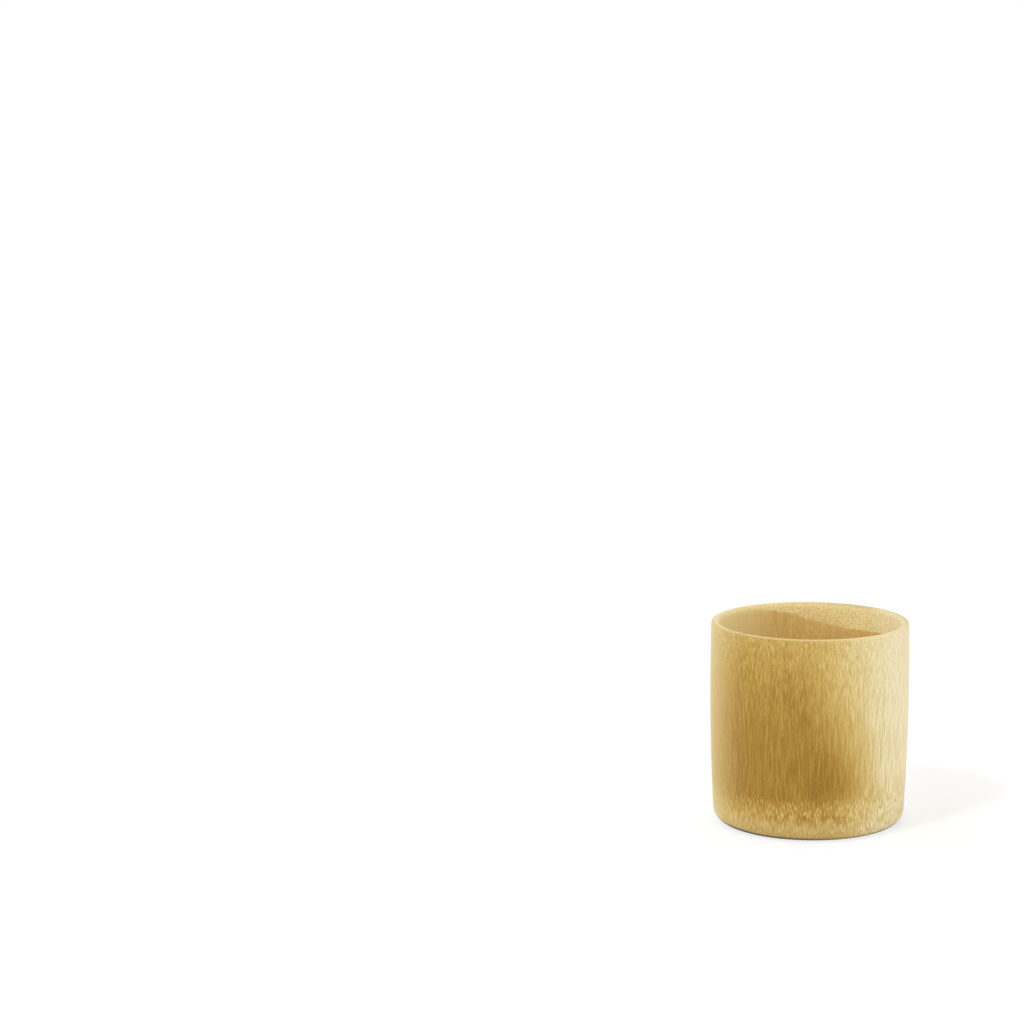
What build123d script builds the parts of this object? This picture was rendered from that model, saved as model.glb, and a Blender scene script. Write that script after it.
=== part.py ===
"""Bamboo cup turned from one joint of culm, with the node's cross-wall as its floor.

Millimetres, +Z up. The lathe axis is Z and the foot stands on Z = 0. The grown hollow of the culm lies
a little off the lathe axis, so the wall is thinner at the front left than at the back right, and the
slanted lip cut takes the inner skin away mostly at the back right.
"""

import os
from math import cos, radians, sin, tan

from build123d import *

# Outside, as turned
cup_height = 80.0
mouth_radius = 38.6
foot_taper = 1.15
belly_swell = 0.7
foot_round = 5.5
foot_cuts = 3

# Rim and lip
rim_width = 2.9
rim_outer_round = 1.1
rim_inner_round = 1.5
rim_cuts = 2
lip_angle = 5.5

# Grown hollow of the culm, with the skin that lines it
mouth_wall = 3.0
hollow_offset = 0.9
hollow_direction = 227.0
lining_thickness = 0.5

# Cross-wall at the node, and the cove by which the wall thickens down to it
floor_height = 14.5
floor_rise = 0.9
floor_cove = 3.0
cove_cuts = 2
septum_thickness = 3.6

# Foot ring round the stub of hollow under the floor
foot_land = 4.0

# Reach of a cubic curve's handles that rounds a square corner like a circle
round_reach = 0.5523


def eased_corner(start, corner, end, cuts):
    """Give the points of a corner that is eased round, from start to end, by a few straight cuts."""
    start, corner, end = Vector(start), Vector(corner), Vector(end)
    curve = Bezier(
        start,
        start + (corner - start) * round_reach,
        end + (corner - end) * round_reach,
        end,
        mode=Mode.PRIVATE,
    )
    return [curve @ (step / cuts) for step in range(cuts + 1)]


# The turned blank: barrel outside, eased foot and rim, slanted lip cut inside
with BuildPart() as turned_blank:
    with BuildSketch(Plane.XZ):
        with BuildLine():
            side = SagittaArc(
                (mouth_radius - foot_taper, foot_round),
                (mouth_radius, cup_height - rim_outer_round),
                -belly_swell,
            )
            foot_corner = side @ 0 - (side % 0) * (foot_round / (side % 0).Y)
            foot_edge = foot_corner - Vector(foot_round, 0)
            rim_corner = side @ 1 + (side % 1) * (rim_outer_round / (side % 1).Y)
            lip_corner = rim_corner - Vector(rim_width, 0)
            lip_slope = Vector(tan(radians(lip_angle)), 1)
            lip_foot = lip_corner - lip_slope * (cup_height / 2)
            Polyline(
                *eased_corner(side @ 1, rim_corner, rim_corner - Vector(rim_outer_round, 0), rim_cuts),
                *eased_corner(
                    lip_corner + Vector(rim_inner_round, 0),
                    lip_corner,
                    lip_corner - lip_slope * rim_inner_round,
                    rim_cuts,
                ),
                lip_foot,
                (0, lip_foot.Y),
                (0, 0),
                *eased_corner(foot_edge, foot_corner, side @ 0, foot_cuts),
            )
        make_face()
    revolve(axis=Axis.Z)

# The hollow, its skins and the cross-wall are grown round the culm's own axis.
culm_centre = Vector(
    hollow_offset * cos(radians(hollow_direction)),
    hollow_offset * sin(radians(hollow_direction)),
    0,
)
culm_plane = Plane(origin=culm_centre, x_dir=(1, 0, 0), z_dir=(0, -1, 0))
culm_axis = Axis(culm_centre, (0, 0, 1))

above_rim = cup_height + rim_width
hollow_radius = mouth_radius - mouth_wall
lining_foot = floor_height + floor_cove
septum_radius = hollow_radius - floor_cove
septum_underside = floor_height - septum_thickness
recess_radius = foot_edge.X - foot_land

# The space in the cup, inside its skin
with BuildPart() as cup_space:
    with BuildSketch(culm_plane):
        with BuildLine():
            Polyline(
                (0, floor_height),
                *eased_corner(
                    (septum_radius, floor_height),
                    (hollow_radius, floor_height),
                    (hollow_radius, lining_foot),
                    cove_cuts,
                ),
                (hollow_radius, above_rim),
                (0, above_rim),
                close=True,
            )
        make_face()
    revolve(axis=culm_axis)

# Inner skin of the cup, trimmed by the slanted lip cut
with BuildPart() as pith_lining:
    with BuildSketch(culm_plane):
        with BuildLine():
            Polyline(
                (hollow_radius, lining_foot),
                (hollow_radius + lining_thickness, lining_foot),
                (hollow_radius + lining_thickness, above_rim),
                (hollow_radius, above_rim),
                close=True,
            )
        make_face()
    revolve(axis=culm_axis)
    lining_room = pith_lining.part
    add(turned_blank.part, mode=Mode.INTERSECT)

# Cross-wall: a disc that rises to the middle, seated on a ledge of the wall
with BuildPart() as node_septum:
    with BuildSketch(culm_plane):
        with BuildLine():
            Polyline(
                (0, septum_underside),
                (septum_radius, septum_underside),
                (septum_radius, floor_height),
                (0, floor_height + floor_rise),
                close=True,
            )
        make_face()
    revolve(axis=culm_axis)

# The space under the floor
with BuildPart() as recess_space:
    with Locations(culm_centre):
        Cylinder(recess_radius, septum_underside, align=(Align.CENTER, Align.CENTER, Align.MIN))

# Inner skin of the stub of hollow under the floor
with BuildPart() as recess_lining:
    with Locations(culm_centre):
        Cylinder(
            recess_radius + lining_thickness,
            septum_underside,
            align=(Align.CENTER, Align.CENTER, Align.MIN),
        )
    add(recess_space.part, mode=Mode.SUBTRACT)

# Fibrous wall: what is left of the blank round the hollow, its skins and the cross-wall
with BuildPart() as culm_wall:
    add(turned_blank.part)
    add(cup_space.part, mode=Mode.SUBTRACT)
    add(lining_room, mode=Mode.SUBTRACT)
    add(node_septum.part, mode=Mode.SUBTRACT)
    add(recess_space.part, mode=Mode.SUBTRACT)
    add(recess_lining.part, mode=Mode.SUBTRACT)

culm_wall.part.label = "culm_wall"
pith_lining.part.label = "pith_lining"
node_septum.part.label = "node_septum"
recess_lining.part.label = "recess_lining"

os.makedirs("parts", exist_ok=True)
export_step(culm_wall.part, "parts/culm_wall.step")
export_step(pith_lining.part, "parts/pith_lining.step")
export_step(node_septum.part, "parts/node_septum.step")
export_step(recess_lining.part, "parts/recess_lining.step")
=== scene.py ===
"""Looks of a bamboo cup turned from one joint of culm, standing on a plain white table.

The frame is in metres with +Z up. The lathe axis is Z, and the culm's own axis lies a little off it, to
the front left. The cup's sizes are written in millimetres and turned to metres as a piece is drawn; the
table's width and shadow, the lamp and the camera are in metres.
"""

from math import atan2, cos, exp, hypot, pi, radians, sin, sqrt, tan

import bpy
import numpy as np
from mathutils import Matrix, Vector, noise


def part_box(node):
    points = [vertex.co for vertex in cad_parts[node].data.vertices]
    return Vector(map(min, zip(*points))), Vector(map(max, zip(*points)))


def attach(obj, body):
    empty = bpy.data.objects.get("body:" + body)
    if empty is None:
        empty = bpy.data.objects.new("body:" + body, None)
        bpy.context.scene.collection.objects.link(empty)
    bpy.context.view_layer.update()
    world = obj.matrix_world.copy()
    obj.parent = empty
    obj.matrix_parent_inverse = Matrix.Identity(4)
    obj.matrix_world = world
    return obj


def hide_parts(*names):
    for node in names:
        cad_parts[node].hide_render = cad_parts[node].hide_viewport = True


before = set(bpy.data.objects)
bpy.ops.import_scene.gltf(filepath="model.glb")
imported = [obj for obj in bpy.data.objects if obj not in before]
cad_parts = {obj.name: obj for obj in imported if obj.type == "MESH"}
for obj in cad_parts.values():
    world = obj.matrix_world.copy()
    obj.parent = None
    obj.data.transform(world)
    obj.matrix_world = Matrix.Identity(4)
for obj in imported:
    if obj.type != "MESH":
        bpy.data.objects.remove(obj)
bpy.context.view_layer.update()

MM = 0.001

# Outside, as turned, a hair inside the facets of the solid
facet_ease = 0.02
cup_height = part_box("culm_wall")[1].z / MM - facet_ease
mouth_radius = 38.6 - facet_ease
foot_taper = 1.15
belly_swell = 0.7
foot_round = 5.5

# Rim and lip
rim_width = 2.9
rim_outer_round = 1.1
rim_inner_round = 1.5
lip_angle = radians(5.5)
lip_cut_depth = 40.0

# Grown hollow, its skin and the cross-wall
hollow_radius = 35.6
hollow_offset = 0.9
hollow_direction = radians(227)
skin_thickness = 0.1
floor_height = 14.5
floor_rise = 0.9
floor_cove = 3.0
septum_underside = 10.9
foot_land = 4.0
culm_centre = Vector((hollow_offset * cos(hollow_direction), hollow_offset * sin(hollow_direction)))

# Where the grown hollow is wider or narrower than round towards the mouth: the middle and spread in
# degrees, and the swell; it is round at the floor
hollow_swells = [(108, 26, 0.2), (97, 7, 0.06), (75, 60, -0.07), (205, 55, -1.0)]
swell_height = 40.0

# The hollow's side wavers by this much, in slow and in quick waves, each with how closely its waves follow
# round the hollow, how tall they are and where their noise starts
waver_reach = 0.03
hollow_wavers = [(9, 40.0, 0), (45, 18.0, 7)]

# Nick in the rim at the front left
nick_direction = radians(-138.4)
nick_width = 0.9
nick_depth = 0.65
nick_reach = 2.5

# Marks on the wall, by bearing from the front in degrees, to the right, and by height
node_height = 12.6
smear_height = 9.4
smear_bearing = -6.0
# Small pits, with how dark they are
node_pits = [(16.2, 10.0, 0.65), (42.0, 12.0, 0.6), (58.8, 12.5, 0.35)]
pit_reach = 0.7
pit_edge = 0.45
# Tongues of darker wood and, with a value below zero, of paler wood, with half their width in degrees,
# half their height and how much they darken, which is full within a core and fades from there
tongues = [(-10, 56, 16, 14, 0.05), (4, 27, 22, 13, 0.05), (13, 15, 10, 6, -0.08), (40, 16, 11, 6, 0.05)]
tongue_core = 0.2

# The table lies a hair under the foot, so that the two faces don't share one plane
table_drop = 0.02
table_width = 60

# Fineness of the turned pieces: columns round the cup, and rows along each stretch of an outline
columns = 432
side_rows = 66
foot_rows = 10
rim_rows = 7
lip_rows = 24
top_rows = 36
back_rows = 6
cove_rows = 8
skin_rows = 60
skin_top_rows = 4
septum_rows = 40
recess_rows = 6

# Tries that find where the hollow meets the turned top, the gap that is closed, and the least sharp edge
edge_passes = 3
merge_reach = 0.002
crease_angle = radians(35)

# Reach of a cubic curve's handles that rounds a square corner like a circle
round_reach = 0.5523


def linear(code):
    """Turn a colour written as an sRGB hex code into linear light, with full cover."""
    parts = [int(code[place:place + 2], 16) / 255 for place in (1, 3, 5)]
    return [part / 12.92 if part <= 0.04045 else ((part + 0.055) / 1.055) ** 2.4 for part in parts] + [1]


def round_corner(start, corner, end, steps):
    """Give the points of a corner that is eased round, from start to end, both included."""
    start, corner, end = Vector(start), Vector(corner), Vector(end)
    first = start.lerp(corner, round_reach)
    second = end.lerp(corner, round_reach)
    points = []
    for step in range(steps + 1):
        share = step / steps
        rest = 1 - share
        points.append(
            start * rest ** 3
            + first * 3 * rest ** 2 * share
            + second * 3 * rest * share ** 2
            + end * share ** 3
        )
    return points


def side_points():
    """Give the barrelled side from the foot's round to the rim's round, and its lean at both ends."""
    low = Vector((mouth_radius - foot_taper, foot_round))
    high = Vector((mouth_radius, cup_height - rim_outer_round))
    chord = high - low
    out = Vector((chord.y, -chord.x)).normalized()
    bend = chord.length ** 2 / (8 * belly_swell) + belly_swell / 2
    points = []
    for step in range(side_rows + 1):
        share = step / side_rows
        along = (share - 0.5) * chord.length
        swell = sqrt(bend ** 2 - along ** 2) - (bend - belly_swell)
        points.append(low.lerp(high, share) + out * swell)
    half_turn = chord.length / (2 * bend)
    lean_low = (chord.normalized() + out * tan(half_turn)).normalized()
    lean_high = (chord.normalized() - out * tan(half_turn)).normalized()
    return points, lean_low, lean_high


side, foot_lean, rim_lean = side_points()
foot_corner = side[0] - foot_lean * (side[0].y / foot_lean.y)
foot_edge = foot_corner - Vector((foot_round, 0))
rim_corner = side[-1] + rim_lean * ((cup_height - side[-1].y) / rim_lean.y)
rim_edge = rim_corner - Vector((rim_outer_round, 0))
lip_corner = rim_corner - Vector((rim_width, 0))
lip_slope = Vector((tan(lip_angle), 1))
recess_radius = foot_edge.x - foot_land
septum_radius = hollow_radius - floor_cove
skin_foot = floor_height + floor_cove

# The turned top, from the outer edge of the rim's flat over the lip and down the slanted cut
top_line = [rim_edge]
top_line += round_corner(
    lip_corner + Vector((rim_inner_round, 0)), lip_corner, lip_corner - lip_slope * rim_inner_round, lip_rows
)
top_line.append(lip_corner - lip_slope * lip_cut_depth)
top_radii = np.array([point.x for point in top_line])
top_heights = np.array([point.y for point in top_line])
top_runs = np.concatenate([[0], np.cumsum(np.hypot(np.diff(top_radii), np.diff(top_heights)))])


def top_height(radius):
    """Give the height of the turned top at a radius from the lathe axis."""
    return float(np.interp(radius, top_radii[::-1], top_heights[::-1]))


def culm_point(angle, radius):
    """Give the point at an angle and a radius about the culm's axis, as x and y."""
    return culm_centre + Vector((cos(angle), sin(angle))) * radius


def hollow_edge(angle, height, thickness):
    """Give where the hollow's side is at an angle about the culm's axis, as x and y."""
    reach = hollow_radius + thickness
    for closeness, tall, start in hollow_wavers:
        spot = Vector((cos(angle) * closeness + start, sin(angle) * closeness, height / tall))
        reach += waver_reach * noise.noise(spot)
    share = min(max((height - skin_foot) / swell_height, 0), 1)
    for middle, spread, swell in hollow_swells:
        apart = (angle - radians(middle) + pi) % (2 * pi) - pi
        reach += share * swell * exp(-(apart / radians(spread)) ** 2)
    return culm_point(angle, reach)


def lip_edge(angle, thickness):
    """Give the point where the hollow's side meets the turned top, as x, y and height."""
    height = cup_height
    for _ in range(edge_passes):
        edge = hollow_edge(angle, height, thickness)
        height = top_height(edge.length)
    return Vector((edge.x, edge.y, height))


def turned(name, outline):
    """Draw an outline of radii and heights from one point, and turn it round the lathe axis.

    Each vertex keeps the row of the outline that it comes from.
    """
    bpy.ops.object.select_all(action="DESELECT")
    bpy.ops.mesh.primitive_plane_add(size=MM)
    piece = bpy.context.object
    piece.name = name
    bpy.ops.object.mode_set(mode="EDIT")
    bpy.ops.mesh.select_all(action="SELECT")
    bpy.ops.mesh.merge(type="CENTER")
    here = Vector((0, 0, 0))
    for place, point in enumerate(outline):
        there = Vector((point[0] * MM, 0, point[1] * MM))
        if place:
            bpy.ops.mesh.extrude_region_move(TRANSFORM_OT_translate={"value": there - here})
        else:
            bpy.ops.transform.translate(value=there)
        here = there
    bpy.ops.object.mode_set(mode="OBJECT")
    row = piece.data.attributes.new("row", "INT", "POINT")
    spots = np.array(outline)
    for vertex in piece.data.vertices:
        apart = np.hypot(spots[:, 0] - vertex.co.x / MM, spots[:, 1] - vertex.co.z / MM)
        row.data[vertex.index].value = int(apart.argmin())
    bpy.ops.object.mode_set(mode="EDIT")
    bpy.ops.mesh.select_all(action="SELECT")
    bpy.ops.mesh.spin(steps=columns, angle=2 * pi, center=(0, 0, 0), axis=(0, 0, 1))
    bpy.ops.mesh.select_all(action="SELECT")
    bpy.ops.mesh.remove_doubles(threshold=merge_reach * MM)
    bpy.ops.object.mode_set(mode="OBJECT")
    return piece


def reshape(piece, place_of):
    """Move each vertex of a turned piece to where place_of puts it, by its row, its angle and its place."""
    mesh = piece.data
    rows = np.zeros(len(mesh.vertices), dtype=np.int32)
    mesh.attributes["row"].data.foreach_get("value", rows)
    for vertex, row in zip(mesh.vertices, rows):
        angle = atan2(vertex.co.y, vertex.co.x)
        vertex.co = Vector(place_of(int(row), angle, vertex.co / MM)) * MM
    mesh.attributes.remove(mesh.attributes["row"])


def finish_piece(piece, node, material):
    """Close and smooth a piece, give it its finish, and let it stand for its node."""
    bpy.ops.object.select_all(action="DESELECT")
    piece.select_set(True)
    bpy.context.view_layer.objects.active = piece
    bpy.ops.object.mode_set(mode="EDIT")
    bpy.ops.mesh.select_all(action="SELECT")
    bpy.ops.mesh.remove_doubles(threshold=merge_reach * MM)
    bpy.ops.mesh.normals_make_consistent(inside=False)
    bpy.ops.object.mode_set(mode="OBJECT")
    bpy.ops.object.shade_smooth_by_angle(angle=crease_angle)
    piece.data.materials.append(material)
    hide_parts(node)
    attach(piece, "root")


def add_node(tree, kind, inputs=None, **settings):
    """Add a shader node, set its settings, and set or link its input sockets.

    Sockets go by name, or by number where names repeat. A MapRange's are 0 for what it runs along, 1 and 2
    for where it starts and ends, and 3 and 4 for what it gives there; a Mix's are 0 for its share, 2 and 3
    for its values, and 6 and 7 for its colours.
    """
    node = tree.nodes.new("ShaderNode" + kind)
    for name, value in settings.items():
        setattr(node, name, value)
    for socket, value in (inputs or {}).items():
        if isinstance(value, bpy.types.NodeSocket):
            tree.links.new(value, node.inputs[socket])
        else:
            node.inputs[socket].default_value = value
    return node


def set_stops(ramp, stops):
    """Give a colour ramp its stops, as places and hex codes."""
    elements = ramp.color_ramp.elements
    while len(elements) < len(stops):
        elements.new(0.5)
    for element, (place, code) in zip(elements, stops):
        element.position = place
        element.color = linear(code)


def new_material(name):
    """Make an empty material and give it back with its node tree."""
    material = bpy.data.materials.new(name)
    material.use_nodes = True
    material.node_tree.nodes.clear()
    return material, material.node_tree


def turned_bamboo():
    """Culm wall with its skin turned off: a dry satin, ochre to straw, with fine upright streaks.

    The lathe went deeper on the right, where the pale inner wood shows; the dense ochre fibres near the
    skin are left at the front. Towards the rim the streaks shorten and lean, and at the node the fibres
    swerve out and are cut across, which shows as pale dashes.
    """
    material, tree = new_material("turned_bamboo")

    # Sizes of the pattern in millimetres; single fibres are too fine to show, so these are their bundles
    fine_width = 0.42
    coarse_width = 0.9
    streak_length = 11.0
    dash_width = 0.62
    dash_length = 2.8
    band_width = 2.6
    dot_spacing = 0.85
    # The other noises: the width and length of their marks, and how many finer noises each holds
    noises = {
        "lean": (6, 15, 1),
        "flames": (1.2, 14, 2),
        "grain": (0.6, 1.1, 1),
        "felt": (0.62, 0.62, 1),
        "smears": (2.6, 3.6, 2),
        "mottle": (1 / 0.95, 1 / 0.8, 3),
    }

    # How far the fibres lean mid-way, at the rim and at the node, and how much shorter streaks are at the rim
    lean_least = 0.004
    lean_most = 0.24
    node_lean = 0.03
    rim_shortening = 6.0
    # Tones from dark ochre at 0 to pale straw at 1, with the bearings between which they change
    ochre_tone = 0.14
    tone_ceiling = 0.9
    straw_bearing = 53.0
    left_ochre_bearing = -50.0
    left_straw_bearing = -103.0
    flame_lick = 8.0
    # How much each pattern moves the tone, mid-way and at the rim where there are two
    fine_least = 0.1
    fine_most = 0.17
    grain_least = 0.18
    grain_most = 0.3
    felt_strength = 0.34
    fine_under_felt = 0.75
    coarse_least = 0.015
    coarse_at_foot = 0.25
    band_strength = 0.06
    side_smoothness = 0.55
    right_edges = (15.0, 45.0)
    contact_shade_at_back = 0.55

    # Where a point is: in millimetres, its bearing from the front, to the right, and its radius
    place = add_node(tree, "TexCoord").outputs["Object"]
    millimetres = add_node(tree, "VectorMath", {0: place, "Scale": 1 / MM}, operation="SCALE").outputs[0]
    rightward, backward, height = add_node(tree, "SeparateXYZ", {0: millimetres}).outputs
    flat = add_node(tree, "VectorMath", {0: millimetres, 1: (1, 1, 0)}, operation="MULTIPLY").outputs[0]
    radius = add_node(tree, "VectorMath", {0: flat}, operation="LENGTH").outputs["Value"]
    nearness = add_node(tree, "Math", {0: backward, 1: -1.0}, operation="MULTIPLY").outputs[0]
    bearing = add_node(tree, "Math", {0: rightward, 1: nearness}, operation="ARCTAN2").outputs[0]
    bearing = add_node(tree, "Math", {0: bearing}, operation="DEGREES").outputs[0]
    aside = add_node(tree, "Math", {0: bearing}, operation="ABSOLUTE").outputs[0]
    sideways = add_node(tree, "Math", {0: rightward}, operation="ABSOLUTE").outputs[0]

    # Fades over the wall: what each runs along, where it starts and ends, what it gives there, and whether
    # it is eased
    fades = {
        "frontness": (aside, 90, 150, 1, 0, True),
        "upward": (height, 40, 82, 0, 1, False),
        "foot_run": (height, 2, 20, -4, 0, True),
        # Slow change of tone
        "straw_edge": (height, 24, 60, 4, -20, False),
        "straw_tone": (height, 24, 50, 0.88, 0.94, False),
        "lift": (height, 24, 80, 0, 0.6, False),
        "low_lift": (height, 17, 6, 0, 0.39, True),
        "low_right": (bearing, 30, 50, 0, -0.09, False),
        "lowness": (height, 24, 14, 0, 1, False),
        # Strength of the streaks and dashes
        "foot_strength": (height, 12, 7, 0, 0.1, False),
        "smooth_high": (height, 45, 66, 1.6, 0.5, False),
        "smooth_side": (aside, 50, 75, 0, 1, False),
        "felted": (height, 64, 77, 0, 1, False),
        "coarse_right": (bearing, -10, 30, 0, 0.025, False),
        "dash_left": (bearing, -60, -20, 0.4, 1, False),
        "dash_right": (bearing, 20, 50, 1, 0.4, False),
        # Cut across the fibres, with painted shade lower in the lip's cut
        "cut_painted_shade": (height, 79, 72, 0, 0.6, False),
        "cut_middle": (sideways, 4, 20, 1, 0.1, False),
        "cut_pale": (sideways, 24, 36, 0, 0.6, False),
        "inside": (radius, 37.6, 37.2, 0, 1, True),
        "above": (height, 30, 31, 0, 1, False),
        "sole": (height, 0.2, 0.1, 0, 1, False),
        "off_sole": (height, 0.1, 0.2, 0, 1, False),
        # Greyer wood
        "grey_foot": (height, 12, 4, 0, 0.19, True),
        "grey_left": (bearing, -40, -75, 0, 0.16, False),
        # Rim, with painted shade at the back right
        "brow": (height, 78.6, 79.6, 0, 0.5, True),
        "rim_top": (height, 79.45, 79.85, 0, 0.9, True),
        "rim_back": (backward, -15, 10, 0, 1, False),
        "rim_right": (rightward, -10, 25, 0, 1, False),
        "rim_painted_shade_band": (rightward, 22, 32, 0.9, 0, False),
        "rim_painted_shade_line": (radius, 36.8, 37.2, 0, 1.2, False),
        # Cove at the floor
        "indoors": (height, 13, 14, 0, 1, False),
        "within": (radius, 36.9, 36.5, 0, 1, False),
        # Painted contact shade along the standing edge
        "contact_shade_raise": (aside, 35, 60, 0, 0.7, False),
        "contact_shade_left": (bearing, -25, 18, 1, 0.4, False),
        "contact_shade_right": (bearing, 22, 85, 0.4, 1, False),
    }
    fade = {}
    for name, (along, start, end, first, last, eased) in fades.items():
        fade[name] = add_node(
            tree,
            "MapRange",
            {0: along, 1: start, 2: end, 3: first, 4: last},
            interpolation_type="SMOOTHSTEP" if eased else "LINEAR",
        ).outputs[0]

    # Bands about a middle: what each runs along, its middle, how far off it is full and how far off it ends,
    # what is left there, and whether it is eased
    bands = {
        "node_ring": (height, node_height, 2.2, 5.4, 0, True),
        "under_node": (height, smear_height, 0.8, 3.2, 0, True),
        "smear_middle": (bearing, smear_bearing, 18, 40, 0.2, False),
    }
    for name, (along, middle, full, gone, left_over, eased) in bands.items():
        apart = add_node(tree, "Math", {0: along, 1: middle}, operation="SUBTRACT").outputs[0]
        apart = add_node(tree, "Math", {0: apart}, operation="ABSOLUTE").outputs[0]
        fade[name] = add_node(
            tree,
            "MapRange",
            {0: apart, 1: full, 2: gone, 3: 1, 4: left_over},
            interpolation_type="SMOOTHSTEP" if eased else "LINEAR",
        ).outputs[0]
    frontness = fade["frontness"]
    inside = fade["inside"]

    # What grows from mid-way to the rim
    upward = add_node(tree, "Math", {0: fade["upward"], 1: 2.0}, operation="POWER").outputs[0]
    growths = []
    for least, most in ((lean_least, lean_most), (fine_least, fine_most), (grain_least, grain_most)):
        growths.append(add_node(tree, "MapRange", {0: upward, 3: least, 4: most}).outputs[0])
    lean_reach, fine_strength, grain_strength = growths

    # Noises, of which some swing about nought
    pattern = {}
    for name, (width, length, detail) in noises.items():
        spot = add_node(
            tree, "VectorMath", {0: millimetres, 1: (1 / width, 1 / width, 1 / length)}, operation="MULTIPLY"
        ).outputs[0]
        pattern[name] = add_node(
            tree, "TexNoise", {"Vector": spot, "Scale": 1.0, "Detail": detail}
        ).outputs["Fac"]
    for name in ("lean", "flames", "grain", "felt"):
        pattern[name] = add_node(tree, "Math", {0: pattern[name], 1: 0.5}, operation="SUBTRACT").outputs[0]

    # Fibres run straight up mid-way, and lean and swerve towards the rim and at the node
    lean_reach = add_node(
        tree, "Math", {0: fade["node_ring"], 1: node_lean, 2: lean_reach}, operation="MULTIPLY_ADD"
    ).outputs[0]
    lean = add_node(tree, "Math", {0: pattern["lean"], 1: lean_reach}, operation="MULTIPLY").outputs[0]
    leaning = add_node(
        tree, "VectorRotate", {"Vector": flat, "Angle": lean}, rotation_type="Z_AXIS"
    ).outputs[0]

    # Streaks are long mid-way, and short near the rim, at the node and at the foot
    rim_run = add_node(tree, "Math", {0: upward, 1: rim_shortening}, operation="MULTIPLY").outputs[0]
    run = add_node(
        tree, "Math", {0: height, 1: 1 / streak_length, 2: rim_run}, operation="MULTIPLY_ADD"
    ).outputs[0]
    run = add_node(tree, "Math", {0: run, 1: fade["foot_run"]}, operation="ADD").outputs[0]
    rise = add_node(tree, "CombineXYZ", {"Z": run}).outputs[0]
    swings = []
    for width in (fine_width, coarse_width):
        streak_place = add_node(
            tree, "VectorMath", {0: leaning, 1: (1 / width, 1 / width, 0), 2: rise}, operation="MULTIPLY_ADD"
        ).outputs[0]
        streaks = add_node(
            tree, "TexNoise", {"Vector": streak_place, "Scale": 1.0, "Detail": 0.0}
        ).outputs["Fac"]
        swings.append(
            add_node(tree, "MapRange", {0: streaks, 1: 0.25, 2: 0.75, 3: -1.0, 4: 1.0}).outputs[0]
        )
    fine_swing, coarse_swing = swings
    band_place = add_node(
        tree, "VectorMath", {0: leaning, 1: (1 / band_width, 1 / band_width, 0)}, operation="MULTIPLY"
    ).outputs[0]
    band_noise = add_node(
        tree, "TexNoise", {"Vector": band_place, "Scale": 1.0, "Detail": 1.0}
    ).outputs["Fac"]
    band_swing = add_node(tree, "Math", {0: band_noise, 1: 0.5}, operation="SUBTRACT").outputs[0]

    # Slow change of tone: ochre at the front left and low, straw at the right and towards the rim
    licked = add_node(
        tree, "Math", {0: pattern["flames"], 1: flame_lick, 2: bearing}, operation="MULTIPLY_ADD"
    ).outputs[0]
    tone = add_node(
        tree,
        "MapRange",
        {0: licked, 1: fade["straw_edge"], 2: straw_bearing, 3: ochre_tone, 4: fade["straw_tone"]},
        interpolation_type="SMOOTHSTEP",
    ).outputs[0]
    left_tone = add_node(
        tree,
        "MapRange",
        {0: bearing, 1: left_ochre_bearing, 2: left_straw_bearing, 3: ochre_tone, 4: fade["straw_tone"]},
    ).outputs[0]
    tone = add_node(tree, "Math", {0: tone, 1: left_tone}, operation="MAXIMUM").outputs[0]
    lift = add_node(tree, "Math", {0: fade["lift"], 1: 2.0}, operation="POWER").outputs[0]
    lift = add_node(tree, "Math", {0: lift, 1: fade["low_lift"]}, operation="ADD").outputs[0]
    headroom = add_node(
        tree, "Math", {0: tone_ceiling, 1: tone}, operation="SUBTRACT", use_clamp=True
    ).outputs[0]
    tone = add_node(tree, "Math", {0: lift, 1: headroom, 2: tone}, operation="MULTIPLY_ADD").outputs[0]
    low_right = add_node(tree, "Math", {0: fade["low_right"], 1: frontness}, operation="MULTIPLY").outputs[0]
    tone = add_node(
        tree, "Math", {0: low_right, 1: fade["lowness"], 2: tone}, operation="MULTIPLY_ADD"
    ).outputs[0]

    # Tongues, by bearing, height, half width, half height and depth of tone
    for turn, level, wide, tall, depth in tongues:
        across = add_node(tree, "Math", {0: licked, 1: turn}, operation="SUBTRACT").outputs[0]
        across = add_node(tree, "Math", {0: across, 1: wide}, operation="DIVIDE").outputs[0]
        over = add_node(tree, "Math", {0: height, 1: level}, operation="SUBTRACT").outputs[0]
        over = add_node(tree, "Math", {0: over, 1: tall}, operation="DIVIDE").outputs[0]
        apart = add_node(tree, "CombineXYZ", {"X": across, "Y": over}).outputs[0]
        apart = add_node(tree, "VectorMath", {0: apart}, operation="LENGTH").outputs["Value"]
        tongue = add_node(
            tree,
            "MapRange",
            {0: apart, 1: tongue_core, 2: 1.0, 3: -depth, 4: 0.0},
            interpolation_type="SMOOTHSTEP",
        ).outputs[0]
        tone = add_node(tree, "Math", {0: tone, 1: tongue}, operation="ADD").outputs[0]

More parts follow.
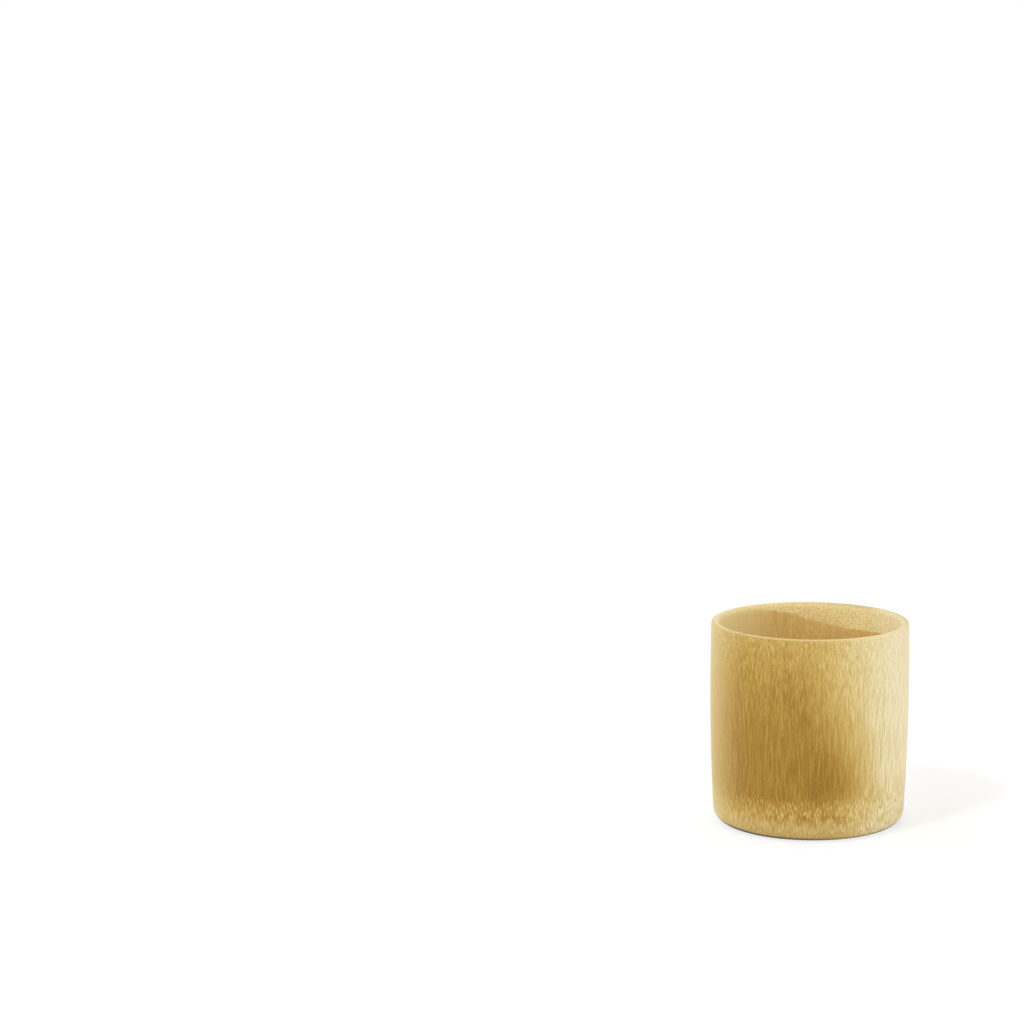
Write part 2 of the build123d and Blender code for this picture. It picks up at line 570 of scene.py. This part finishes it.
    # Fine streaks are strong at the lower right, where the bundles lie further apart, and faint at the
    # sides, at the back and under the felted fibres of the rim
    smooth_right = add_node(
        tree, "MapRange", {0: bearing, 1: right_edges[0], 2: right_edges[1], 3: 1.0, 4: fade["smooth_high"]}
    ).outputs[0]
    smoothness = add_node(
        tree, "Mix", {0: fade["smooth_side"], 2: smooth_right, 3: side_smoothness}
    ).outputs[0]
    unfelted = add_node(tree, "MapRange", {0: fade["felted"], 3: 1.0, 4: fine_under_felt}).outputs[0]
    fine_strength = add_node(
        tree, "Math", {0: fine_strength, 1: fade["foot_strength"]}, operation="ADD"
    ).outputs[0]
    for share in (smoothness, unfelted):
        fine_strength = add_node(tree, "Math", {0: fine_strength, 1: share}, operation="MULTIPLY").outputs[0]
    felt_share = add_node(
        tree, "Math", {0: fade["felted"], 1: felt_strength}, operation="MULTIPLY"
    ).outputs[0]
    coarse_strength = add_node(
        tree, "Math", {0: fade["coarse_right"], 1: frontness, 2: coarse_least}, operation="MULTIPLY_ADD"
    ).outputs[0]
    coarse_strength = add_node(
        tree,
        "Math",
        {0: fade["foot_strength"], 1: coarse_at_foot, 2: coarse_strength},
        operation="MULTIPLY_ADD",
    ).outputs[0]

    # The node: pale dashes on a browner ring, with brown smears under it
    dash_rise = add_node(tree, "Math", {0: height, 1: dash_length}, operation="DIVIDE").outputs[0]
    dash_rise = add_node(tree, "CombineXYZ", {"Z": dash_rise}).outputs[0]
    dash_place = add_node(
        tree,
        "VectorMath",
        {0: leaning, 1: (1 / dash_width, 1 / dash_width, 0), 2: dash_rise},
        operation="MULTIPLY_ADD",
    ).outputs[0]
    dashes = add_node(tree, "TexVoronoi", {"Vector": dash_place, "Scale": 1.0}).outputs["Distance"]
    dashes = add_node(
        tree, "MapRange", {0: dashes, 1: 0.12, 2: 0.54, 3: 0.38, 4: 0.02}, interpolation_type="SMOOTHSTEP"
    ).outputs[0]
    dash_share = fade["dash_left"]
    for share in (fade["dash_right"], fade["node_ring"]):
        dash_share = add_node(tree, "Math", {0: dash_share, 1: share}, operation="MULTIPLY").outputs[0]
    smears = add_node(
        tree,
        "MapRange",
        {0: pattern["smears"], 1: 0.44, 2: 0.6, 3: 0.0, 4: -0.17},
        interpolation_type="SMOOTHSTEP",
    ).outputs[0]
    smear_share = add_node(
        tree, "Math", {0: fade["under_node"], 1: fade["smear_middle"]}, operation="MULTIPLY"
    ).outputs[0]

    # Each pattern moves the tone by its strength
    for swing, strength in (
        (fine_swing, fine_strength),
        (pattern["grain"], grain_strength),
        (pattern["felt"], felt_share),
        (coarse_swing, coarse_strength),
        (band_swing, band_strength),
        (dashes, dash_share),
        (smears, smear_share),
    ):
        tone = add_node(tree, "Math", {0: swing, 1: strength, 2: tone}, operation="MULTIPLY_ADD").outputs[0]
    ramp = add_node(tree, "ValToRGB", {0: tone})
    set_stops(
        ramp,
        [
            (0.0, "#8e6922"),
            (0.15, "#a17a2b"),
            (0.35, "#b89548"),
            (0.55, "#ccaf67"),
            (0.77, "#ddca91"),
            (1.0, "#f2e4be"),
        ],
    )

    # Where the fibres are cut across, at the lip and under the foot: pale, with fine darker pores, and
    # painted shade that darkens the cut further down from the rim, most of all in the middle
    pore_place = add_node(
        tree, "VectorMath", {0: millimetres, "Scale": 1 / dot_spacing}, operation="SCALE"
    ).outputs[0]
    pore = add_node(tree, "TexVoronoi", {"Vector": pore_place, "Scale": 1.0}).outputs["Distance"]
    pore = add_node(
        tree, "MapRange", {0: pore, 1: 0.1, 2: 0.62, 3: 0.34, 4: 0.0}, interpolation_type="SMOOTHSTEP"
    ).outputs[0]
    cut_ramp = add_node(tree, "ValToRGB", {0: pattern["mottle"]})
    set_stops(cut_ramp, [(0.3, "#f3dc96"), (0.7, "#fdf0b9")])
    cut_painted_shade = add_node(
        tree, "Math", {0: fade["cut_painted_shade"], 1: fade["cut_middle"]}, operation="MULTIPLY"
    ).outputs[0]
    cut_colour = cut_ramp.outputs[0]
    for share, code in ((cut_painted_shade, "#dcba76"), (fade["cut_pale"], "#fff8da"), (pore, "#ae7a1e")):
        cut_colour = add_node(
            tree, "Mix", {0: share, 6: cut_colour, 7: linear(code)}, data_type="RGBA"
        ).outputs[2]
    lip = add_node(tree, "Math", {0: inside, 1: fade["above"]}, operation="MULTIPLY").outputs[0]
    cut = add_node(tree, "Math", {0: lip, 1: fade["sole"]}, operation="MAXIMUM").outputs[0]
    outside = add_node(tree, "Math", {0: 1.0, 1: cut}, operation="SUBTRACT").outputs[0]

    # The wood is greyer at the foot and at the far left
    grey = add_node(tree, "Math", {0: fade["grey_left"], 1: frontness}, operation="MULTIPLY").outputs[0]
    grey = add_node(tree, "Math", {0: fade["grey_foot"], 1: grey}, operation="MAXIMUM").outputs[0]
    grey = add_node(tree, "Math", {0: grey, 1: outside}, operation="MULTIPLY").outputs[0]

    # The rim's top is a smooth pale line; at the back right it carries painted shade, a darker rim colour
    # with a duller band and a dark line along its inner edge
    brow = add_node(tree, "Math", {0: fade["brow"], 1: inside}, operation="MULTIPLY").outputs[0]
    rim_top = add_node(tree, "Math", {0: fade["rim_top"], 1: outside}, operation="MULTIPLY").outputs[0]
    # Rim colours at the front and behind, from left to right; the dark one behind at the right is painted
    # shade
    rim_colours = []
    for left_code, right_code in (("#d8bf80", "#e6d39c"), ("#dcc688", "#b3a274")):
        rim_colours.append(
            add_node(
                tree,
                "Mix",
                {0: fade["rim_right"], 6: linear(left_code), 7: linear(right_code)},
                data_type="RGBA",
            ).outputs[2]
        )
    rim_front, rim_behind_painted_shade = rim_colours
    rim_colour = add_node(
        tree, "Mix", {0: fade["rim_back"], 6: rim_front, 7: rim_behind_painted_shade}, data_type="RGBA"
    ).outputs[2]
    rim_painted_shade_share = add_node(
        tree, "Math", {0: fade["rim_back"], 1: fade["rim_right"]}, operation="MULTIPLY"
    ).outputs[0]
    rim_painted_shade_share = add_node(tree, "Math", {0: rim_painted_shade_share, 1: brow}, operation="MULTIPLY").outputs[0]
    rim_painted_shade_band = add_node(tree, "Math", {0: fade["rim_painted_shade_band"], 1: rim_painted_shade_share}, operation="MULTIPLY").outputs[0]
    rim_painted_shade_line = add_node(tree, "Math", {0: fade["rim_painted_shade_line"], 1: rim_painted_shade_share}, operation="MULTIPLY").outputs[0]

    # The cove by which the wall meets the floor has the skin's tan
    cove = add_node(tree, "Math", {0: 1.0, 1: fade["above"]}, operation="SUBTRACT").outputs[0]
    for share in (inside, fade["indoors"], fade["within"]):
        cove = add_node(tree, "Math", {0: cove, 1: share}, operation="MULTIPLY").outputs[0]

    # The edge that stands on the table gets painted contact shade, most of all at the left
    contact_shade_height = add_node(tree, "Math", {0: height, 1: fade["contact_shade_raise"]}, operation="SUBTRACT").outputs[0]
    standing = add_node(
        tree, "MapRange", {0: contact_shade_height, 1: 2.0, 2: 1.1, 3: 0.0, 4: 0.9}, interpolation_type="SMOOTHSTEP"
    ).outputs[0]
    contact_shade_side = add_node(
        tree, "Math", {0: fade["contact_shade_left"], 1: fade["contact_shade_right"]}, operation="MAXIMUM"
    ).outputs[0]
    contact_shade_fade = add_node(tree, "MapRange", {0: frontness, 3: contact_shade_at_back, 4: 1.0}).outputs[0]
    for share in (contact_shade_side, contact_shade_fade, fade["off_sole"]):
        standing = add_node(tree, "Math", {0: standing, 1: share}, operation="MULTIPLY").outputs[0]

    # The layers of colour, from the wood up, with the dark pits where a bundle was torn out at the node
    layers = [
        (cut, cut_colour),
        (grey, linear("#cfbf94")),
        (brow, linear("#d6bf82")),
        (rim_top, rim_colour),
        (rim_painted_shade_band, linear("#b7a16e")),
        (rim_painted_shade_line, linear("#8d7f58")),
        (cove, linear("#dcbb76")),
    ]
    for turn, level, depth in node_pits:
        reach = float(np.interp(level, [point.y for point in side], [point.x for point in side]))
        spot = (reach * sin(radians(turn)), -reach * cos(radians(turn)), level)
        apart = add_node(tree, "VectorMath", {0: millimetres, 1: spot}, operation="DISTANCE").outputs["Value"]
        pit = add_node(
            tree, "MapRange", {0: apart, 1: pit_reach - pit_edge, 2: pit_reach, 3: depth, 4: 0.0}
        ).outputs[0]
        layers.append((pit, linear("#7a5c00")))
    # Painted contact shade goes on last, over the wood
    layers.append((standing, linear("#36220a")))
    colour = ramp.outputs[0]
    for share, cover in layers:
        colour = add_node(tree, "Mix", {0: share, 6: colour, 7: cover}, data_type="RGBA").outputs[2]

    bump = add_node(tree, "Bump", {"Strength": 0.2, "Distance": 0.00002, "Height": coarse_swing}).outputs[0]
    shader = add_node(
        tree,
        "BsdfPrincipled",
        {"Base Color": colour, "Roughness": 0.5, "IOR": 1.5, "Specular IOR Level": 0.2, "Normal": bump},
    ).outputs[0]
    add_node(tree, "OutputMaterial", {"Surface": shader})
    return material


def pith_skin():
    """The smooth tan skin that lines a culm's hollow: a little waxy, with faint lines round it and up it.

    It is paler towards the left.
    """
    material, tree = new_material("pith_skin")
    # Noises: how many of their marks lie in a millimetre across and up, and how many finer noises each holds
    noises = [
        (0.025, 1.2, 2.0),
        (0.75, 0.45, 2.0),
        (1 / 0.7, 1 / 14.0, 1.0),
    ]
    grain_share = 0.65
    streak_share = 0.35
    pale_from = -10.0
    pale_to = -35.0

    place = add_node(tree, "TexCoord").outputs["Object"]
    millimetres = add_node(tree, "VectorMath", {0: place, "Scale": 1 / MM}, operation="SCALE").outputs[0]
    rightward = add_node(tree, "SeparateXYZ", {0: millimetres}).outputs["X"]
    patterns = []
    for across, up, detail in noises:
        spot = add_node(
            tree, "VectorMath", {0: millimetres, 1: (across, across, up)}, operation="MULTIPLY"
        ).outputs[0]
        patterns.append(
            add_node(tree, "TexNoise", {"Vector": spot, "Scale": 1.0, "Detail": detail}).outputs["Fac"]
        )
    lines, grain, streaks = patterns
    tone = add_node(tree, "Mix", {0: grain_share, 2: lines, 3: grain}).outputs[0]
    tone = add_node(tree, "Mix", {0: streak_share, 2: tone, 3: streaks}).outputs[0]
    ramp = add_node(tree, "ValToRGB", {0: tone})
    set_stops(ramp, [(0.38, "#d6b26b"), (0.62, "#e5c881")])
    pale = add_node(tree, "MapRange", {0: rightward, 1: pale_from, 2: pale_to, 3: 0.0, 4: 1.0}).outputs[0]
    colour = add_node(
        tree, "Mix", {0: pale, 6: ramp.outputs[0], 7: linear("#fff1b8")}, data_type="RGBA"
    ).outputs[2]
    bump = add_node(tree, "Bump", {"Strength": 0.1, "Distance": 0.0001, "Height": lines}).outputs[0]
    shader = add_node(
        tree,
        "BsdfPrincipled",
        {"Base Color": colour, "Roughness": 0.5, "IOR": 1.5, "Specular IOR Level": 0.2, "Normal": bump},
    ).outputs[0]
    add_node(tree, "OutputMaterial", {"Surface": shader})
    return material


def septum_bamboo():
    """The cross-wall at the node: a dull tan, faintly ringed, a little darker to the middle."""
    material, tree = new_material("septum_bamboo")
    blotches_per_millimetre = 0.18
    rings_per_millimetre = 0.5
    ring_wobble = 5.0
    middle_radius = 4.0
    outer_radius = 32.0

    place = add_node(tree, "TexCoord").outputs["Object"]
    millimetres = add_node(tree, "VectorMath", {0: place, "Scale": 1 / MM}, operation="SCALE").outputs[0]
    centre = (culm_centre.x, culm_centre.y, 0)
    outward = add_node(tree, "VectorMath", {0: millimetres, 1: centre}, operation="SUBTRACT").outputs[0]
    outward = add_node(tree, "VectorMath", {0: outward, 1: (1, 1, 0)}, operation="MULTIPLY").outputs[0]
    radius = add_node(tree, "VectorMath", {0: outward}, operation="LENGTH").outputs["Value"]
    blotch_place = add_node(
        tree, "VectorMath", {0: millimetres, "Scale": blotches_per_millimetre}, operation="SCALE"
    ).outputs[0]
    blotches = add_node(
        tree, "TexNoise", {"Vector": blotch_place, "Scale": 1.0, "Detail": 4.0}
    ).outputs["Fac"]
    wobble = add_node(
        tree, "Math", {0: blotches, 1: ring_wobble, 2: radius}, operation="MULTIPLY_ADD"
    ).outputs[0]
    ring_place = add_node(tree, "CombineXYZ", {"X": wobble}).outputs[0]
    rings = add_node(
        tree, "TexNoise", {"Vector": ring_place, "Scale": rings_per_millimetre, "Detail": 2.0}
    ).outputs["Fac"]
    paleness = add_node(
        tree, "MapRange", {0: radius, 1: middle_radius, 2: outer_radius, 3: -0.12, 4: 0.1}
    ).outputs[0]
    tone = add_node(tree, "Math", {0: rings, 1: blotches}, operation="ADD").outputs[0]
    tone = add_node(tree, "Math", {0: tone, 1: 0.5, 2: paleness}, operation="MULTIPLY_ADD").outputs[0]
    ramp = add_node(tree, "ValToRGB", {0: tone})
    set_stops(ramp, [(0.25, "#b58a4c"), (0.75, "#d8b576")])
    shader = add_node(
        tree,
        "BsdfPrincipled",
        {"Base Color": ramp.outputs[0], "Roughness": 0.55, "IOR": 1.5, "Specular IOR Level": 0.2},
    ).outputs[0]
    add_node(tree, "OutputMaterial", {"Surface": shader})
    return material


def dented(point, angle):
    """Press the small nick of the rim's front left into a point of the wall."""
    apart = (angle - nick_direction) * mouth_radius
    closeness = exp(-(apart / nick_width) ** 2)
    share = min(max((point.z - (cup_height - nick_reach)) / nick_reach, 0), 1)
    return Vector((point.x, point.y, point.z - nick_depth * closeness * share))


def build_wall(material):
    """Turn the culm's wall, move its inside to the culm's own axis, and trim it to the slanted lip."""
    # The rows of the lip and of the skin's seat are drawn apart in their order, and placed afterwards
    drawn_lip_gap = 0.03
    drawn_seat_gap = 2.0
    seat_radius = hollow_radius + skin_thickness
    outer = round_corner(foot_edge, foot_corner, side[0], foot_rows) + side[1:]
    outer += round_corner(side[-1], rim_corner, rim_edge, rim_rows)[1:]
    outline = [tuple(point) for point in outer]
    top_start = len(outline) - 1
    outline += [(rim_edge.x - step * drawn_lip_gap, cup_height) for step in range(1, top_rows + 1)]
    back_start = len(outline) - 1
    outline += [(seat_radius, cup_height - (step + 1) * drawn_seat_gap) for step in range(1, back_rows + 1)]
    inner_start = len(outline)
    cove = round_corner(
        (hollow_radius, skin_foot), (hollow_radius, floor_height), (septum_radius, floor_height), cove_rows
    )
    outline += [(seat_radius, skin_foot)] + [tuple(point) for point in cove]
    outline += [(septum_radius, septum_underside), (recess_radius + skin_thickness, septum_underside)]
    outline += [(recess_radius + skin_thickness, 0), tuple(foot_edge)]
    last = len(outline) - 1
    edges = {}

    def place_of(row, angle, here):
        """Keep the outside, and place the lip, the skin's seat and the inside."""
        key = round(angle, 5)
        if key not in edges:
            edges[key] = lip_edge(angle, skin_thickness)
        edge = edges[key]
        if row <= top_start or row == last:
            return dented(here, angle)
        if row <= back_start:
            swing = (atan2(edge.y, edge.x) - angle + pi) % (2 * pi) - pi
            run_end = float(np.interp(-hypot(edge.x, edge.y), -top_radii, top_runs))
            share = (row - top_start) / top_rows
            radius = float(np.interp(run_end * share, top_runs, top_radii))
            turn = angle + swing * share
            return dented(Vector((radius * cos(turn), radius * sin(turn), top_height(radius))), turn)
        if row < inner_start:
            share = (row - back_start) / (back_rows + 1)
            level = edge.z + (skin_foot - edge.z) * share
            spot = hollow_edge(angle, level, skin_thickness)
            return (spot.x, spot.y, level)
        radius, level = outline[row]
        if level >= floor_height:
            spot = hollow_edge(angle, level, radius - hollow_radius)
        else:
            spot = culm_point(angle, radius)
        return (spot.x, spot.y, level)

    piece = turned("culm_wall_turned", outline)
    reshape(piece, place_of)
    finish_piece(piece, "culm_wall", material)


def build_lining(material):
    """Turn the skin of the hollow and trim it to the slanted lip."""
    # Rows are drawn apart in their order, and placed afterwards
    drawn_gap = 0.9
    drawn_top = cup_height - 1
    drawn_back_gap = 8
    seat_radius = hollow_radius + skin_thickness
    thicknesses = [skin_thickness * step / skin_top_rows for step in range(skin_top_rows + 1)]
    outline = [(hollow_radius, skin_foot + step * drawn_gap) for step in range(skin_rows + 1)]
    outline += [(hollow_radius + thickness, drawn_top) for thickness in thicknesses[1:]]
    outline += [(seat_radius, drawn_top - step * drawn_back_gap) for step in range(1, back_rows)]
    outline += [(seat_radius, skin_foot), (hollow_radius, skin_foot)]
    edges = {}

    def place_of(row, angle, here):
        """Place the skin's face, its cut edge and its back."""
        key = round(angle, 5)
        if key not in edges:
            edges[key] = [lip_edge(angle, thickness) for thickness in thicknesses]
        brim = edges[key]
        if row < skin_rows:
            level = skin_foot + (brim[0].z - skin_foot) * row / skin_rows
            spot = hollow_edge(angle, level, 0)
            return (spot.x, spot.y, level)
        if row <= skin_rows + skin_top_rows:
            return brim[row - skin_rows]
        if row < len(outline) - 1:
            share = (row - skin_rows - skin_top_rows) / back_rows
            level = brim[-1].z + (skin_foot - brim[-1].z) * share
            spot = hollow_edge(angle, level, skin_thickness)
            return (spot.x, spot.y, level)
        spot = hollow_edge(angle, skin_foot, 0)
        return (spot.x, spot.y, skin_foot)

    piece = turned("pith_lining_skin", outline)
    reshape(piece, place_of)
    finish_piece(piece, "pith_lining", material)


def build_septum(material):
    """Turn the cross-wall, which rises a little to the middle."""
    outline = []
    for step in range(septum_rows + 1):
        share = step / septum_rows
        rise = floor_rise * (1 + cos(pi * share)) / 2
        outline.append((septum_radius * share, floor_height + rise))
    outline += [(septum_radius, septum_underside), (0, septum_underside)]

    def place_of(row, angle, here):
        """Centre the cross-wall on the culm's axis, with its edge on the wavering hollow."""
        radius, level = outline[row]
        if row == septum_rows:
            spot = hollow_edge(angle, floor_height, -floor_cove)
        else:
            spot = culm_point(angle, radius)
        return (spot.x, spot.y, level)

    piece = turned("node_septum_floor", outline)
    reshape(piece, place_of)
    finish_piece(piece, "node_septum", material)


def build_recess(material):
    """Turn the skin of the stub of hollow under the floor."""
    seat_radius = recess_radius + skin_thickness
    outline = [(recess_radius, septum_underside * step / recess_rows) for step in range(recess_rows + 1)]
    outline += [(seat_radius, septum_underside), (seat_radius, 0), (recess_radius, 0)]

    def place_of(row, angle, here):
        """Centre the skin on the culm's axis."""
        radius, level = outline[row]
        spot = culm_point(angle, radius)
        return (spot.x, spot.y, level)

    piece = turned("recess_lining_skin", outline)
    reshape(piece, place_of)
    finish_piece(piece, "recess_lining", material)


def seen_share(tree):
    """Give 1 to rays that show a surface to the eye, straight, by gloss or through glass, and 0 to light."""
    path = add_node(tree, "LightPath").outputs
    seen = path["Is Camera Ray"]
    for ray in ("Is Glossy Ray", "Is Transmission Ray"):
        seen = add_node(tree, "Math", {0: seen, 1: path[ray]}, operation="MAXIMUM").outputs[0]
    return seen


def white_table():
    """A wide white table top that keeps the cup's faint shadow, on the right most of all."""
    # In metres: where the shadow's side begins, and how far off the table is plain white again
    shade_edges = (0.03, 0.055)
    shade_ends = (0.12, 0.3)
    lit_share = 0.75
    shaded_share = 0.2

    bpy.ops.object.select_all(action="DESELECT")
    bpy.ops.mesh.primitive_plane_add(size=table_width, location=(0, 0, -table_drop * MM))
    table = bpy.context.object
    table.name = "white_table"
    material, tree = new_material("white_table")
    matt = add_node(tree, "BsdfDiffuse", {"Color": linear("#ffffff")}).outputs[0]
    glow = add_node(tree, "Emission", {"Color": linear("#ffffff"), "Strength": 1.03}).outputs[0]
    place = add_node(tree, "TexCoord").outputs["Object"]
    rightward = add_node(tree, "SeparateXYZ", {0: place}).outputs["X"]
    near_share = add_node(
        tree,
        "MapRange",
        {0: rightward, 1: shade_edges[0], 2: shade_edges[1], 3: lit_share, 4: shaded_share},
    ).outputs[0]
    distance = add_node(tree, "VectorMath", {0: place}, operation="LENGTH").outputs["Value"]
    far_share = add_node(tree, "MapRange", {0: distance, 1: shade_ends[0], 2: shade_ends[1]}).outputs[0]
    glow_share = add_node(tree, "Math", {0: near_share, 1: far_share}, operation="MAXIMUM").outputs[0]
    share = add_node(tree, "Math", {0: seen_share(tree), 1: glow_share}, operation="MULTIPLY").outputs[0]
    shader = add_node(tree, "MixShader", {0: share, 1: matt, 2: glow}).outputs[0]
    add_node(tree, "OutputMaterial", {"Surface": shader})
    table.data.materials.append(material)


def white_room():
    """Plain pale surroundings, shown as white to the camera."""
    room_light = 0.96
    world = bpy.data.worlds.new("white_room")
    bpy.context.scene.world = world
    world.use_nodes = True
    tree = world.node_tree
    tree.nodes.clear()
    strength = add_node(tree, "MapRange", {0: seen_share(tree), 3: room_light, 4: 1.0}).outputs[0]
    sky = add_node(tree, "Background", {"Color": linear("#ffffff"), "Strength": strength}).outputs[0]
    add_node(tree, "OutputWorld", {"Surface": sky})


def soft_lamp():
    """Hang a square soft lamp at the front left that faces the middle of the cup."""
    lamp = bpy.data.lights.new("front_left_lamp", "AREA")
    lamp.size = 0.3
    lamp.energy = 7.5
    holder = bpy.data.objects.new("front_left_lamp", lamp)
    holder.location = (-0.95, -1.05, 1.68)
    aim = Vector((0, 0, 0.04)) - holder.location
    holder.rotation_euler = aim.to_track_quat("-Z", "Y").to_euler()
    bpy.context.scene.collection.objects.link(holder)


def set_camera():
    """Set the camera a little above the rim, as the photograph was taken."""
    lens = bpy.data.cameras.new("camera")
    lens.sensor_width = 36
    lens.lens = 123.05
    lens.clip_end = 200
    camera = bpy.data.objects.new("camera", lens)
    camera.location = (-0.1164, -1.3419, 0.3514)
    pitch = radians(9.643)
    roll = radians(-0.2)
    turn = Matrix.Rotation(pi / 2 - pitch, 3, "X") @ Matrix.Rotation(roll, 3, "Z")
    camera.rotation_euler = turn.to_euler()
    bpy.context.scene.collection.objects.link(camera)
    bpy.context.scene.camera = camera


skin = pith_skin()
build_wall(turned_bamboo())
build_lining(skin)
build_septum(septum_bamboo())
build_recess(skin)
white_table()
white_room()
soft_lamp()
set_camera()
bpy.context.scene.view_settings.view_transform = "Standard"
